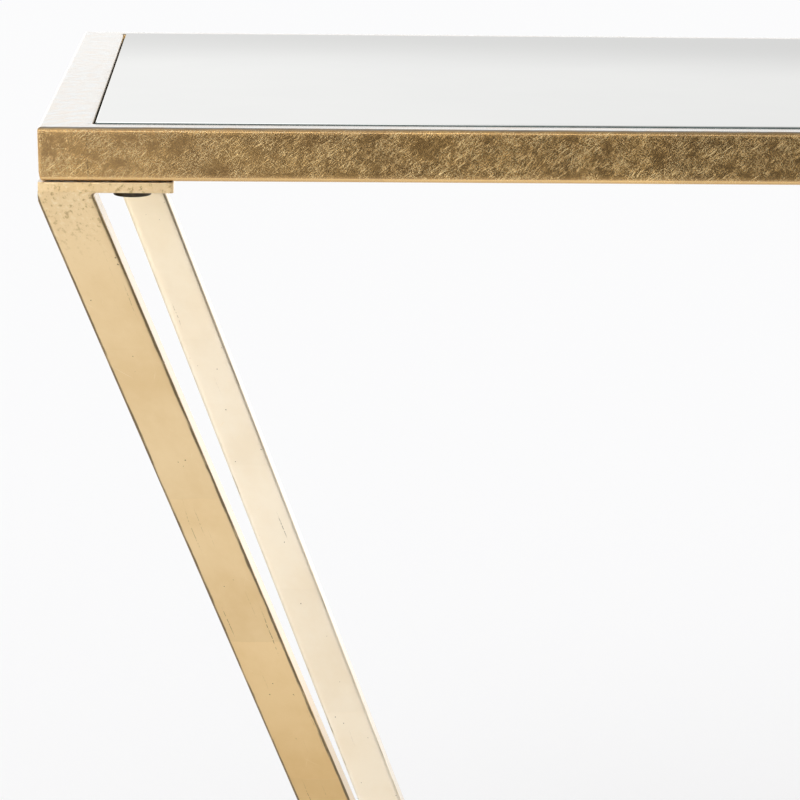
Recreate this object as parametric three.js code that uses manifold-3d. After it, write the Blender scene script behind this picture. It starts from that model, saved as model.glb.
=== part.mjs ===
// A narrow vanity table: a gold-leafed steel frame with a drop-in mirror top, on four raked legs
// that lean in to a small floor frame. Millimetres, +Z up, origin on the floor under the centre.
// +X runs along the table's length and -Y is its front.

import * as THREE from 'three';
import { mergeVertices } from 'three/addons/utils/BufferGeometryUtils.js';
import Module from 'manifold-3d';

const wasm = await Module();
wasm.setup();

// Driving dimensions.
const tableLength = 1067;
const tableDepth = 420;
const tableHeight = 762; // floor to mirror face
const gap = 0.3; // between pieces that touch

const railHeight = 25.4;
const longRailDepth = 12.7; // front and back rails stand on edge
const endRailWidth = 25.4;
const railWall = 1.5;
const railCorner = 2;

const ledgeSize = 12.7; // square tube that the panel sits on
const ledgeWall = 1.2;
const crossBarOffset = 178; // from the table's centre

const mirrorThickness = 5;
const mirrorProud = 0.6; // above the rails
const mirrorGap = 1; // to the rails, all round
const mirrorArris = 0.8;
const backingThickness = 6;
const backingInset = 1;
const bumperRadius = 5;
const bumperInset = 60; // from the end of its ledge

const legTube = 25.4;
const legWall = 1.5;
const legLeanX = 0.395; // inward, per unit of drop
const legLeanY = 0.142;
const legOverhang = 1.7; // ground off flush with the table's end
const legBlockHeight = 12; // solid top of the leg

const plateLength = 63.4;
const plateDepth = 25.4;
const plateThickness = 5;
const plateJoint = 0.5; // shadow line under the rails

const boltInset = 43.5; // from the table's end
const boltRadius = 3;
const boltHeadRadius = 9;
const boltHeadHeight = 3.4;
const boltHeadChamfer = 0.6;
const boltTipChamfer = 0.6;
const boltLength = 14;
const boltSocket = 5; // across flats
const boltSocketDepth = 2.2;
const boltClearance = 0.5;
const nutRadius = 4.7;
const nutHeight = 5;

const floorTube = 25.4;
const floorFrameLift = 8; // under side of the floor frame above the floor
const glideInset = 34; // from the end of the floor frame
const glideRadius = 13;
const glideHeight = 6;
const glideChamfer = 1;
const glideCollarRadius = 7;
const glideFloor = 2; // nylon under the stud
const studRadius = 4;
const studTop = 28;
const studChamfer = 0.8;
const insertRadius = 6.5;
const insertHeight = 12;

const roundSides = 24;
const cornerSteps = 3;
const cutMargin = 1; // how far a cutting solid runs past what it cuts

// Levels, from the top down.
const railTop = tableHeight - mirrorProud;
const railBottom = railTop - railHeight;
const ledgeTop = railBottom + ledgeSize;
const mirrorBottom = tableHeight - mirrorThickness;
const backingTop = mirrorBottom - gap;
const backingBottom = backingTop - backingThickness;
const plateTop = railBottom - plateJoint;
const plateBottom = plateTop - plateThickness;
const legTop = plateBottom - gap;
const floorFrameTop = floorFrameLift + floorTube;
const legBottom = floorFrameTop + gap;

// Plan sizes.
const halfLength = tableLength / 2;
const halfDepth = tableDepth / 2;
const legSectionX = legTube * Math.hypot(1, legLeanX);
const legSectionY = legTube * Math.hypot(1, legLeanY);
const floorHalfLength = halfLength + legOverhang - legLeanX * (legTop - legBottom);
const floorHalfDepth = halfDepth - legLeanY * (legTop - legBottom);
const boltInsetY = longRailDepth + ledgeSize / 2;

const table = new THREE.Group();

const goldLeaf = { color: 0xcfae72, roughness: 0.38, metalness: 1 };
const mirrorSilver = { color: 0xdfe2e2, roughness: 0.03, metalness: 1 };
const darkBoard = { color: 0x2b2724, roughness: 0.85, metalness: 0 };
const darkSteel = { color: 0x2a2622, roughness: 0.5, metalness: 1 };
const zincSteel = { color: 0xb4b6b8, roughness: 0.4, metalness: 1 };
const blackNylon = { color: 0x1d1d1e, roughness: 0.6, metalness: 0 };
const clearBumper = { color: 0xd9dcdc, roughness: 0.3, metalness: 0 };

function place(name, geometry, finish) {
  const mesh = new THREE.Mesh(geometry, new THREE.MeshStandardMaterial(finish));
  mesh.name = name;
  table.add(mesh);
}

// A closed mesh with shared vertices, as a solid for joining and cutting.
function solidOf(geometry) {
  const bare = geometry.clone();
  bare.deleteAttribute('normal');
  bare.deleteAttribute('uv');
  const merged = mergeVertices(bare, 1e-4);
  const corners = merged.index.array;
  const kept = [];
  for (let i = 0; i < corners.length; i += 3) {
    const [a, b, c] = corners.slice(i, i + 3);
    if (a !== b && b !== c && c !== a) kept.push(a, b, c);
  }
  return new wasm.Manifold(new wasm.Mesh({
    numProp: 3,
    vertProperties: new Float32Array(merged.attributes.position.array),
    triVerts: new Uint32Array(kept),
  }));
}

function geometryOf(solid) {
  const mesh = solid.getMesh();
  const geometry = new THREE.BufferGeometry();
  geometry.setAttribute('position', new THREE.BufferAttribute(mesh.vertProperties, 3));
  geometry.setIndex(new THREE.BufferAttribute(mesh.triVerts, 1));
  geometry.computeVertexNormals();
  return geometry;
}

// A rectangle with rounded corners, as a Shape or as a hole's Path.
function rectangle(outline, left, low, right, high, radius = 0) {
  if (radius === 0) {
    outline.moveTo(left, low);
    outline.lineTo(right, low);
    outline.lineTo(right, high);
    outline.lineTo(left, high);
    outline.closePath();
    return outline;
  }
  const quarter = Math.PI / 2;
  outline.absarc(right - radius, high - radius, radius, 0, quarter, false);
  outline.absarc(left + radius, high - radius, radius, quarter, 2 * quarter, false);
  outline.absarc(left + radius, low + radius, radius, 2 * quarter, 3 * quarter, false);
  outline.absarc(right - radius, low + radius, radius, 3 * quarter, 4 * quarter, false);
  outline.closePath();
  return outline;
}

function extrude(shape, length) {
  return new THREE.ExtrudeGeometry(shape, {
    depth: length,
    bevelEnabled: false,
    curveSegments: cornerSteps,
  });
}

// A shape drawn in (y, z) and drawn out along X.
function alongX(shape, from, to) {
  const [x, y, z] = axes();
  const basis = new THREE.Matrix4().makeBasis(y, z, x);
  return extrude(shape, to - from).applyMatrix4(basis).translate(from, 0, 0);
}

// A shape drawn in (z, x) and drawn out along Y.
function alongY(shape, from, to) {
  const [x, y, z] = axes();
  const basis = new THREE.Matrix4().makeBasis(z, x, y);
  return extrude(shape, to - from).applyMatrix4(basis).translate(0, from, 0);
}

// A shape drawn in (x, y) and drawn out along Z.
function alongZ(shape, from, to) {
  return extrude(shape, to - from).translate(0, 0, from);
}

function axes() {
  return [new THREE.Vector3(1, 0, 0), new THREE.Vector3(0, 1, 0), new THREE.Vector3(0, 0, 1)];
}

// A tube's section: a rounded rectangle with a plain rectangular bore.
function tubeSection(left, low, right, high, wall, radius = 0) {
  const shape = rectangle(new THREE.Shape(), left, low, right, high, radius);
  const bore = rectangle(new THREE.Path(), left + wall, low + wall, right - wall, high - wall);
  shape.holes.push(bore);
  return shape;
}

// A turned piece from a profile of [radius, height] points, standing on Z.
function turned(profile, sides = roundSides) {
  const points = profile.map(([radius, height]) => new THREE.Vector2(radius, height));
  return new THREE.LatheGeometry(points, sides).rotateX(Math.PI / 2);
}

function cylinder(radius, from, to, sides = roundSides) {
  return turned([[0, from], [radius, from], [radius, to], [0, to]], sides);
}

// A plan outline as a prism, for trimming tube ends to a mitre.
function planPrism(corners, from, to) {
  const shape = new THREE.Shape(corners.map(([x, y]) => new THREE.Vector2(x, y)));
  return solidOf(alongZ(shape, from, to));
}

// Four mitred tubes round a rectangle. Each one is trimmed back from its mitre by half the gap.
function mitredFrame(spec) {
  const { halfX, halfY, depthX, depthY, bottom, height, wall, radius } = spec;
  const back = gap / 2 * Math.hypot(depthX, depthY);
  const tubes = {};
  for (const [side, sign] of [['front', -1], ['back', 1]]) {
    const outer = sign * halfY;
    const inner = sign * (halfY - depthY);
    const low = Math.min(outer, inner);
    const section = tubeSection(low, bottom, low + depthY, bottom + height, wall, radius);
    const endCut = back / depthY;
    const outline = [
      [-halfX + endCut, outer],
      [halfX - endCut, outer],
      [halfX - depthX - endCut, inner],
      [-halfX + depthX + endCut, inner],
    ];
    if (sign > 0) outline.reverse();
    const trim = planPrism(outline, bottom - cutMargin, bottom + height + cutMargin);
    tubes[side] = solidOf(alongX(section, -halfX, halfX)).intersect(trim);
  }
  for (const [side, sign] of [['left', -1], ['right', 1]]) {
    const outer = sign * halfX;
    const inner = sign * (halfX - depthX);
    const low = Math.min(outer, inner);
    const section = tubeSection(bottom, low, bottom + height, low + depthX, wall, radius);
    const endCut = back / depthX;
    const outline = [
      [outer, halfY - endCut],
      [outer, -halfY + endCut],
      [inner, -halfY + depthY + endCut],
      [inner, halfY - depthY - endCut],
    ];
    if (sign > 0) outline.reverse();
    const trim = planPrism(outline, bottom - cutMargin, bottom + height + cutMargin);
    tubes[side] = solidOf(alongY(section, -halfY, halfY)).intersect(trim);
  }
  return tubes;
}

const corners = [
  { name: 'front_left', sideX: -1, sideY: -1 },
  { name: 'front_right', sideX: 1, sideY: -1 },
  { name: 'back_left', sideX: -1, sideY: 1 },
  { name: 'back_right', sideX: 1, sideY: 1 },
];

function addTopRails() {
  const tubes = mitredFrame({
    halfX: halfLength,
    halfY: halfDepth,
    depthX: endRailWidth,
    depthY: longRailDepth,
    bottom: railBottom,
    height: railHeight,
    wall: railWall,
    radius: railCorner,
  });
  for (const [side, tube] of Object.entries(tubes)) {
    place(`${side}_rail`, geometryOf(tube), goldLeaf);
  }
}

// Square tubes inside the rails, flush with their under side. The long two take the leg bolts.
function addLedges() {
  const innerX = halfLength - endRailWidth - gap;
  const innerY = halfDepth - longRailDepth - gap;
  for (const [side, sign] of [['front', -1], ['back', 1]]) {
    const low = sign < 0 ? -innerY : innerY - ledgeSize;
    const section = tubeSection(low, railBottom, low + ledgeSize, ledgeTop, ledgeWall);
    let tube = solidOf(alongX(section, -innerX, innerX));
    for (const end of [-1, 1]) {
      const holeTop = railBottom + ledgeWall + cutMargin;
      const hole = cylinder(boltRadius + boltClearance, railBottom - cutMargin, holeTop);
      hole.translate(end * (halfLength - boltInset), sign * (halfDepth - boltInsetY), 0);
      tube = tube.subtract(solidOf(hole));
    }
    place(`${side}_ledge`, geometryOf(tube), goldLeaf);
  }
  const reach = innerY - ledgeSize - gap;
  for (const [side, sign] of [['left', -1], ['right', 1]]) {
    const low = sign < 0 ? -innerX : innerX - ledgeSize;
    const section = tubeSection(railBottom, low, ledgeTop, low + ledgeSize, ledgeWall);
    place(`${side}_ledge`, alongY(section, -reach, reach), goldLeaf);
    const barLow = sign * crossBarOffset - ledgeSize / 2;
    const bar = tubeSection(railBottom, barLow, ledgeTop, barLow + ledgeSize, ledgeWall);
    place(`cross_bar_${side}`, alongY(bar, -reach, reach), goldLeaf);
  }
}

// Soft discs that keep the panel off the steel: four on the end ledges, two on the cross bars.
function addBumpers() {
  const ledgeX = halfLength - endRailWidth - gap - ledgeSize / 2;
  const ledgeY = halfDepth - bumperInset;
  const disc = () => cylinder(bumperRadius, ledgeTop + gap, backingBottom - gap);
  for (const { name, sideX, sideY } of corners) {
    const bumper = disc().translate(sideX * ledgeX, sideY * ledgeY, 0);
    place(`bumper_${name}`, bumper, clearBumper);
  }
  for (const [side, sign] of [['left', -1], ['right', 1]]) {
    place(`bumper_centre_${side}`, disc().translate(sign * crossBarOffset, 0, 0), clearBumper);
  }
}

// The drop-in top: a mirror with ground arrises on a dark board.
function addPanel() {
  const halfX = halfLength - endRailWidth - mirrorGap;
  const halfY = halfDepth - longRailDepth - mirrorGap;
  const inX = halfX - mirrorArris;
  const inY = halfY - mirrorArris;
  const face = rectangle(new THREE.Shape(), -inX, -inY, inX, inY);
  const mirror = new THREE.ExtrudeGeometry(face, {
    depth: mirrorThickness - 2 * mirrorArris,
    bevelThickness: mirrorArris,
    bevelSize: mirrorArris,
    bevelSegments: 1,
  });
  place('mirror_glass', mirror.translate(0, 0, mirrorBottom + mirrorArris), mirrorSilver);
  const boardX = halfX - backingInset;
  const boardY = halfY - backingInset;
  const outline = rectangle(new THREE.Shape(), -boardX, -boardY, boardX, boardY);
  place('backing_board', alongZ(outline, backingBottom, backingTop), darkBoard);
}

// A raked square tube with a solid top, its outer corner ground flush with the table's end.
function legGeometry(sideX, sideY) {
  const outerX = sideX * (halfLength + legOverhang);
  const outerY = sideY * halfDepth;
  const innerX = outerX - sideX * legSectionX;
  const innerY = outerY - sideY * legSectionY;
  const lowX = Math.min(outerX, innerX);
  const lowY = Math.min(outerY, innerY);
  const highX = lowX + legSectionX;
  const highY = lowY + legSectionY;
  const wallX = legWall * legSectionX / legTube;
  const outline = rectangle(new THREE.Shape(), lowX, lowY, highX, highY, railCorner);
  const hollow = rectangle(new THREE.Shape(), lowX + wallX, lowY + legWall, highX - wallX, highY - legWall);
  const outside = alongZ(outline, legBottom, legTop);
  const inside = alongZ(hollow, legBottom - cutMargin, legTop - legBlockHeight);
  const rake = new THREE.Matrix4().set(
    1, 0, sideX * legLeanX, -sideX * legLeanX * legTop,
    0, 1, sideY * legLeanY, -sideY * legLeanY * legTop,
    0, 0, 1, 0,
    0, 0, 0, 1,
  );
  outside.applyMatrix4(rake);
  inside.applyMatrix4(rake);
  const flush = sideX < 0 ? [-halfLength, 0] : [0, halfLength];
  const keep = [
    [flush[0], -halfDepth - cutMargin],
    [flush[1], -halfDepth - cutMargin],
    [flush[1], halfDepth + cutMargin],
    [flush[0], halfDepth + cutMargin],
  ];
  const trim = planPrism(keep, legBottom - cutMargin, legTop + cutMargin);
  return geometryOf(solidOf(outside).subtract(solidOf(inside)).intersect(trim));
}

function addLegs() {
  for (const { name, sideX, sideY } of corners) {
    place(`leg_${name}`, legGeometry(sideX, sideY), goldLeaf);
  }
}

// A flat plate on each leg, bolted up through the long ledge into a round weld nut.
function addLegFixings() {
  for (const { name, sideX, sideY } of corners) {
    const boltX = sideX * (halfLength - boltInset);
    const boltY = sideY * (halfDepth - boltInsetY);
    const endX = sideX * halfLength;
    const farX = endX - sideX * plateLength;
    const faceY = sideY * halfDepth;
    const farY = faceY - sideY * plateDepth;
    const outline = rectangle(
      new THREE.Shape(),
      Math.min(endX, farX), Math.min(faceY, farY),
      Math.max(endX, farX), Math.max(faceY, farY),
    );
    const hole = new THREE.Path();
    hole.absarc(boltX, boltY, boltRadius + boltClearance, 0, 2 * Math.PI, false);
    outline.holes.push(hole);
    const plate = new THREE.ExtrudeGeometry(outline, {
      depth: plateThickness,
      bevelEnabled: false,
      curveSegments: roundSides / 2,
    });
    place(`leg_plate_${name}`, plate.translate(0, 0, plateBottom), goldLeaf);

    const seat = plateBottom - gap;
    const headLow = seat - boltHeadHeight;
    const bolt = turned([
      [0, headLow],
      [boltHeadRadius - boltHeadChamfer, headLow],
      [boltHeadRadius, headLow + boltHeadChamfer],
      [boltHeadRadius, seat],
      [boltRadius, seat],
      [boltRadius, seat + boltLength - boltTipChamfer],
      [boltRadius - boltTipChamfer, seat + boltLength],
      [0, seat + boltLength],
    ]);
    const socketRadius = boltSocket / Math.sqrt(3);
    const socket = cylinder(socketRadius, headLow - cutMargin, headLow + boltSocketDepth, 6);
    const head = geometryOf(solidOf(bolt).subtract(solidOf(socket)));
    place(`leg_bolt_${name}`, head.translate(boltX, boltY, 0), darkSteel);

    const nutLow = railBottom + ledgeWall + gap;
    const nut = turned([
      [boltRadius + gap, nutLow],
      [nutRadius, nutLow],
      [nutRadius, nutLow + nutHeight],
      [boltRadius + gap, nutLow + nutHeight],
      [boltRadius + gap, nutLow],
    ]);
    place(`weld_nut_${name}`, nut.translate(boltX, boltY, 0), zincSteel);
  }
}

const glideX = floorHalfLength - glideInset;
const glideY = floorHalfDepth - floorTube / 2;

function addFloorFrame() {
  const tubes = mitredFrame({
    halfX: floorHalfLength,
    halfY: floorHalfDepth,
    depthX: floorTube,
    depthY: floorTube,
    bottom: floorFrameLift,
    height: floorTube,
    wall: railWall,
    radius: railCorner,
  });
  for (const { sideX, sideY } of corners) {
    const holeTop = floorFrameLift + railWall + cutMargin;
    const hole = cylinder(insertRadius + gap, floorFrameLift - cutMargin, holeTop);
    hole.translate(sideX * glideX, sideY * glideY, 0);
    const side = sideY < 0 ? 'front' : 'back';
    tubes[side] = tubes[side].subtract(solidOf(hole));
  }
  for (const [side, tube] of Object.entries(tubes)) {
    place(`floor_rail_${side}`, geometryOf(tube), goldLeaf);
  }
}

// A screw-in glide near each corner of the floor frame: a threaded insert, a stud and a nylon foot.
function addGlides() {
  const collarTop = floorFrameLift - gap;
  for (const { name, sideX, sideY } of corners) {
    const at = [sideX * glideX, sideY * glideY, 0];
    const insert = turned([
      [studRadius + gap, floorFrameLift],
      [insertRadius, floorFrameLift],
      [insertRadius, floorFrameLift + insertHeight],
      [studRadius + gap, floorFrameLift + insertHeight],
      [studRadius + gap, floorFrameLift],
    ]);
    place(`glide_insert_${name}`, insert.translate(...at), zincSteel);

    const stud = turned([
      [0, glideFloor + gap],
      [studRadius, glideFloor + gap],
      [studRadius, studTop - studChamfer],
      [studRadius - studChamfer, studTop],
      [0, studTop],
    ]);
    place(`glide_stud_${name}`, stud.translate(...at), zincSteel);

    const foot = turned([
      [0, 0],
      [glideRadius - glideChamfer, 0],
      [glideRadius, glideChamfer],
      [glideRadius, glideHeight - glideChamfer],
      [glideRadius - glideChamfer, glideHeight],
      [glideCollarRadius, glideHeight],
      [glideCollarRadius, collarTop],
      [studRadius + gap, collarTop],
      [studRadius + gap, glideFloor],
      [0, glideFloor],
    ]);
    place(`glide_foot_${name}`, foot.translate(...at), blackNylon);
  }
}

addTopRails();
addLedges();
addBumpers();
addPanel();
addLegs();
addLegFixings();
addFloorFrame();
addGlides();

export default table;
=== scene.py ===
# A narrow vanity table: gold-leafed steel tube, a mirror dropped into the top and four raked legs.
import bpy
import math
import random
from mathutils import Matrix, Vector


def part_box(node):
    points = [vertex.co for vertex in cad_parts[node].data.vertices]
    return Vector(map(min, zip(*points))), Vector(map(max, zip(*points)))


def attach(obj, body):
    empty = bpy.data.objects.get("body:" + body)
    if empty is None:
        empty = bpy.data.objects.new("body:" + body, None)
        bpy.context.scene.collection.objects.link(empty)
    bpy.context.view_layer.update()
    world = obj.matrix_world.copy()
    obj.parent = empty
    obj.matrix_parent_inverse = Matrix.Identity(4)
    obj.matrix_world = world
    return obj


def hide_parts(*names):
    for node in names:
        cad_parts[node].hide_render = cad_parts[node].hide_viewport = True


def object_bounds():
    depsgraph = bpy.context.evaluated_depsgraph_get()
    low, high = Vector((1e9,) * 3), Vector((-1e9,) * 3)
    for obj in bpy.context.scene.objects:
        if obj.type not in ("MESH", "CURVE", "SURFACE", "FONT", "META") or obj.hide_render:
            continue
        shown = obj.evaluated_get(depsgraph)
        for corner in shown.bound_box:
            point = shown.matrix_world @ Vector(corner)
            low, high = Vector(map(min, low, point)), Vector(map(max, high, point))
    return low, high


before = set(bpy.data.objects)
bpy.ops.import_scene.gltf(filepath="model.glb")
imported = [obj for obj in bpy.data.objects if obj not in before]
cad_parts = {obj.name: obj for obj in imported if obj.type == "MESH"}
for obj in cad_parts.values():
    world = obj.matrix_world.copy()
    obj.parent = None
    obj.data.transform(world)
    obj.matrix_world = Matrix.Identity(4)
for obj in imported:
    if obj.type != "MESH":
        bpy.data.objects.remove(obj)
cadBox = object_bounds()
mm = 0.001
tableHigh = cadBox[1]
halfLength = tableHigh.x
halfDepth = tableHigh.y
# the signs of x and y at each corner
corners = {
    "front_left": (-1, -1),
    "front_right": (1, -1),
    "back_left": (-1, 1),
    "back_right": (1, 1),
}
print("frame loaded:", len(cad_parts), "nodes")


# distances in metres and angles in degrees
cameraLook = {
    "fromCorner": (0.0857, -1.1943, 0.1705),  # from the top's front left corner
    "turn": 2.61,  # to the right
    "tilt": 12.02,  # down
    "roll": 0.77,
    "lens": 116.2,
    "shift": (0.08, -0.12),
}


def setCamera(look):
    data = bpy.data.cameras.new("camera")
    data.lens = look["lens"]
    data.sensor_width = 36
    data.shift_x, data.shift_y = look["shift"]
    camera = bpy.data.objects.new("camera", data)
    bpy.context.scene.collection.objects.link(camera)
    corner = Vector((-halfLength, -halfDepth, tableHigh.z))
    turn = Matrix.Rotation(-math.radians(look["turn"]), 4, "Z")
    tilt = Matrix.Rotation(math.radians(90 - look["tilt"]), 4, "X")
    roll = Matrix.Rotation(math.radians(look["roll"]), 4, "Z")
    place = Matrix.Translation(corner + Vector(look["fromCorner"]))
    camera.matrix_world = place @ turn @ tilt @ roll
    bpy.context.scene.camera = camera


setCamera(cameraLook)
print("camera placed")


# one node, its kind named without "ShaderNode"; an input is a value or another node's output
def add(tree, kind, inputs=None, **settings):
    made = tree.nodes.new("ShaderNode" + kind)
    for key, value in settings.items():
        setattr(made, key, value)
    for key, value in (inputs or {}).items():
        if isinstance(value, bpy.types.NodeSocket):
            tree.links.new(value, made.inputs[key])
        else:
            made.inputs[key].default_value = value
    return made


def calc(tree, operation, first, second=0.0, third=0.0):
    return add(tree, "Math", {0: first, 1: second, 2: third}, operation=operation).outputs[0]


def times(tree, first, second):
    return calc(tree, "MULTIPLY", first, second)


def ease(tree, value, low, high, start=0.0, end=1.0):
    inputs = {"Value": value, "From Min": low, "From Max": high, "To Min": start, "To Max": end}
    return add(tree, "MapRange", inputs, interpolation_type="SMOOTHSTEP").outputs[0]


def mixColour(tree, factor, first, second, blend="MIX"):
    made = add(tree, "Mix", {0: factor, 6: first, 7: second}, data_type="RGBA", blend_type=blend)
    return made.outputs[2]


def noise(tree, vector, scale, detail=2.0, rough=0.5):
    inputs = {"Vector": vector, "Scale": scale, "Detail": detail, "Roughness": rough}
    return add(tree, "TexNoise", inputs).outputs[0]


def colour(red, green, blue):
    return (red, green, blue, 1.0)


def newGroup(name, inputs, outputs):
    group = bpy.data.node_groups.new(name, "ShaderNodeTree")
    for label, value in inputs.items():
        kind = "NodeSocketVector" if value is None else "NodeSocketFloat"
        socket = group.interface.new_socket(label, in_out="INPUT", socket_type=kind)
        if value is not None:
            socket.default_value = value
    for label in outputs:
        group.interface.new_socket(label, in_out="OUTPUT", socket_type="NodeSocketFloat")
    return group, group.nodes.new("NodeGroupInput").outputs, group.nodes.new("NodeGroupOutput").inputs


def useGroup(tree, group, inputs):
    return add(tree, "Group", inputs, node_tree=group).outputs


# scales, cuts and softness inside the shared effects
effects = {
    "bendScale": 35.0,  # how the rub marks wander
    "bendReach": 0.004,
    "markCut": 0.78,  # level from which a mark shows
    "markGain": 0.3,
    "markSoft": 0.1,
    "wanderScale": 90.0,  # the ragged end of a leaf sheet
    "tubeStep": 7.3,
    "overlapScale": 160.0,
    "overlap": (0.38, 0.5),
    "pitWarpScale": 700.0,
    "pitWarpReach": 0.0016,
    "pitPatchScale": 45.0,
    "pitPatch": (0.44, 0.62),
    "wearStretch": 0.12,
    "wearScale": 420.0,
    "wearBite": 3.0,
    "wearSoft": 0.25,
}


# hair-fine marks at one angle, bent by a slow drift
def makeRubMarks():
    inputs = {"Vector": None, "Angle": 0.8, "Along": 60.0, "Across": 1400.0, "Amount": 0.4, "Seed": 0.0}
    group, given, result = newGroup("rubMarks", inputs, ["Marks"])
    drift = add(group, "TexNoise", {"Vector": given["Vector"], "Scale": effects["bendScale"]})
    reach = {0: drift.outputs["Color"], "Scale": effects["bendReach"]}
    bend = add(group, "VectorMath", reach, operation="SCALE")
    bent = add(group, "VectorMath", {0: given["Vector"], 1: bend.outputs[0]})
    turn = {"Vector": bent.outputs[0], "Angle": given["Angle"]}
    turned = add(group, "VectorRotate", turn, rotation_type="Z_AXIS")
    parts = add(group, "SeparateXYZ", {0: turned.outputs[0]})
    along = times(group, parts.outputs[0], given["Along"])
    across = times(group, parts.outputs[1], given["Across"])
    stretched = add(group, "CombineXYZ", {0: along, 1: across, 2: given["Seed"]})
    lines = noise(group, stretched.outputs[0], 1.0, 1.0)
    gain = times(group, given["Amount"], effects["markGain"])
    low = calc(group, "SUBTRACT", effects["markCut"], gain)
    high = calc(group, "ADD", low, effects["markSoft"])
    group.links.new(ease(group, lines, low, high), result["Marks"])
    return group


# sheets of leaf laid end to end: a tone for each sheet and the ragged line where two overlap
def makeLeafSheets():
    inputs = {"Vector": None, "Sheet": 0.084, "Ragged": 0.003, "Line": 0.0008}
    group, given, result = newGroup("leafSheets", inputs, ["Tone", "Overlap"])
    wander = noise(group, given["Vector"], effects["wanderScale"], 3.0)
    parts = add(group, "SeparateXYZ", {0: given["Vector"]})
    offset = times(group, calc(group, "SUBTRACT", wander, 0.5), given["Ragged"])
    along = calc(group, "ADD", parts.outputs[0], offset)
    sheets = calc(group, "DIVIDE", along, given["Sheet"])
    number = calc(group, "FLOOR", sheets)
    inSheet = times(group, calc(group, "FRACT", sheets), given["Sheet"])
    tube = times(group, calc(group, "FLOOR", parts.outputs[1]), effects["tubeStep"])
    sheetOfTube = calc(group, "ADD", number, tube)
    tone = add(group, "TexWhiteNoise", {"W": sheetOfTube}, noise_dimensions="1D")
    line = ease(group, inSheet, given["Line"], 0.0)
    broken = ease(group, noise(group, given["Vector"], effects["overlapScale"]), *effects["overlap"])
    group.links.new(tone.outputs["Value"], result["Tone"])
    group.links.new(times(group, line, broken), result["Overlap"])
    return group


# small pits and specks, gathered in patches
def makePitting():
    inputs = {"Vector": None, "Scale": 260.0, "Size": 0.16, "Amount": 0.3}
    group, given, result = newGroup("pitting", inputs, ["Pits"])
    warp = add(group, "TexNoise", {"Vector": given["Vector"], "Scale": effects["pitWarpScale"]})
    reach = {0: warp.outputs["Color"], "Scale": effects["pitWarpReach"]}
    nudge = add(group, "VectorMath", reach, operation="SCALE")
    warped = add(group, "VectorMath", {0: given["Vector"], 1: nudge.outputs[0]})
    cells = add(group, "TexVoronoi", {"Vector": warped.outputs[0], "Scale": given["Scale"]})
    chance = add(group, "SeparateColor", {0: cells.outputs["Color"]})
    size = times(group, given["Size"], chance.outputs[1])
    spot = ease(group, cells.outputs["Distance"], size, times(group, size, 0.5))
    gathered = noise(group, given["Vector"], effects["pitPatchScale"], 3.0)
    patch = ease(group, gathered, *effects["pitPatch"])
    kept = calc(group, "LESS_THAN", chance.outputs[0], times(group, given["Amount"], patch))
    group.links.new(times(group, spot, kept), result["Pits"])
    return group


# where the leaf is rubbed off an arris, from the "arris" value that each mesh carries
def makeEdgeWear():
    inputs = {"Vector": None, "Width": 0.5, "Broken": 0.5}
    group, given, result = newGroup("edgeWear", inputs, ["Wear", "Near"])
    arris = add(group, "Attribute", attribute_name="arris").outputs["Fac"]
    parts = add(group, "SeparateXYZ", {0: given["Vector"]})
    stretched = times(group, parts.outputs[0], effects["wearStretch"])
    streak = add(group, "CombineXYZ", {0: stretched, 1: parts.outputs[1]})
    slow = noise(group, streak.outputs[0], effects["wearScale"], 4.0, 0.65)
    bite = times(group, given["Broken"], effects["wearBite"])
    eaten = times(group, calc(group, "SUBTRACT", slow, 0.5), bite)
    level = calc(group, "ADD", arris, eaten)
    start = calc(group, "SUBTRACT", 1.0, given["Width"])
    end = calc(group, "ADD", start, effects["wearSoft"])
    group.links.new(ease(group, level, start, end), result["Wear"])
    group.links.new(arris, result["Near"])
    return group


# slow patches of tone, from 0 to 1
def makePatches():
    inputs = {"Vector": None, "Scale": 40.0, "Low": 0.4, "High": 0.65}
    group, given, result = newGroup("patches", inputs, ["Patch"])
    cloud = noise(group, given["Vector"], given["Scale"], 5.0, 0.62)
    group.links.new(ease(group, cloud, given["Low"], given["High"]), result["Patch"])
    return group


rubMarks = makeRubMarks()
leafSheets = makeLeafSheets()
pitting = makePitting()
edgeWear = makeEdgeWear()
patches = makePatches()
print("node groups made")


def newMaterial(name):
    material = bpy.data.materials.new(name)
    material.use_nodes = True
    tree = material.node_tree
    return material, tree, tree.nodes["Principled BSDF"]


def stripVector(tree):
    return add(tree, "UVMap", uv_map="strip").outputs[0]


def patchy(tree, strip, scale, span=(0.4, 0.65)):
    return useGroup(tree, patches, {"Vector": strip, "Scale": scale, "Low": span[0], "High": span[1]})[0]


def finishSurface(tree, shader, base, rough, height):
    tree.links.new(base, shader.inputs["Base Color"])
    tree.links.new(rough, shader.inputs["Roughness"])
    bump = add(tree, "Bump", {"Height": height, "Distance": mm, "Strength": 1.0})
    tree.links.new(bump.outputs[0], shader.inputs["Normal"])


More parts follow.
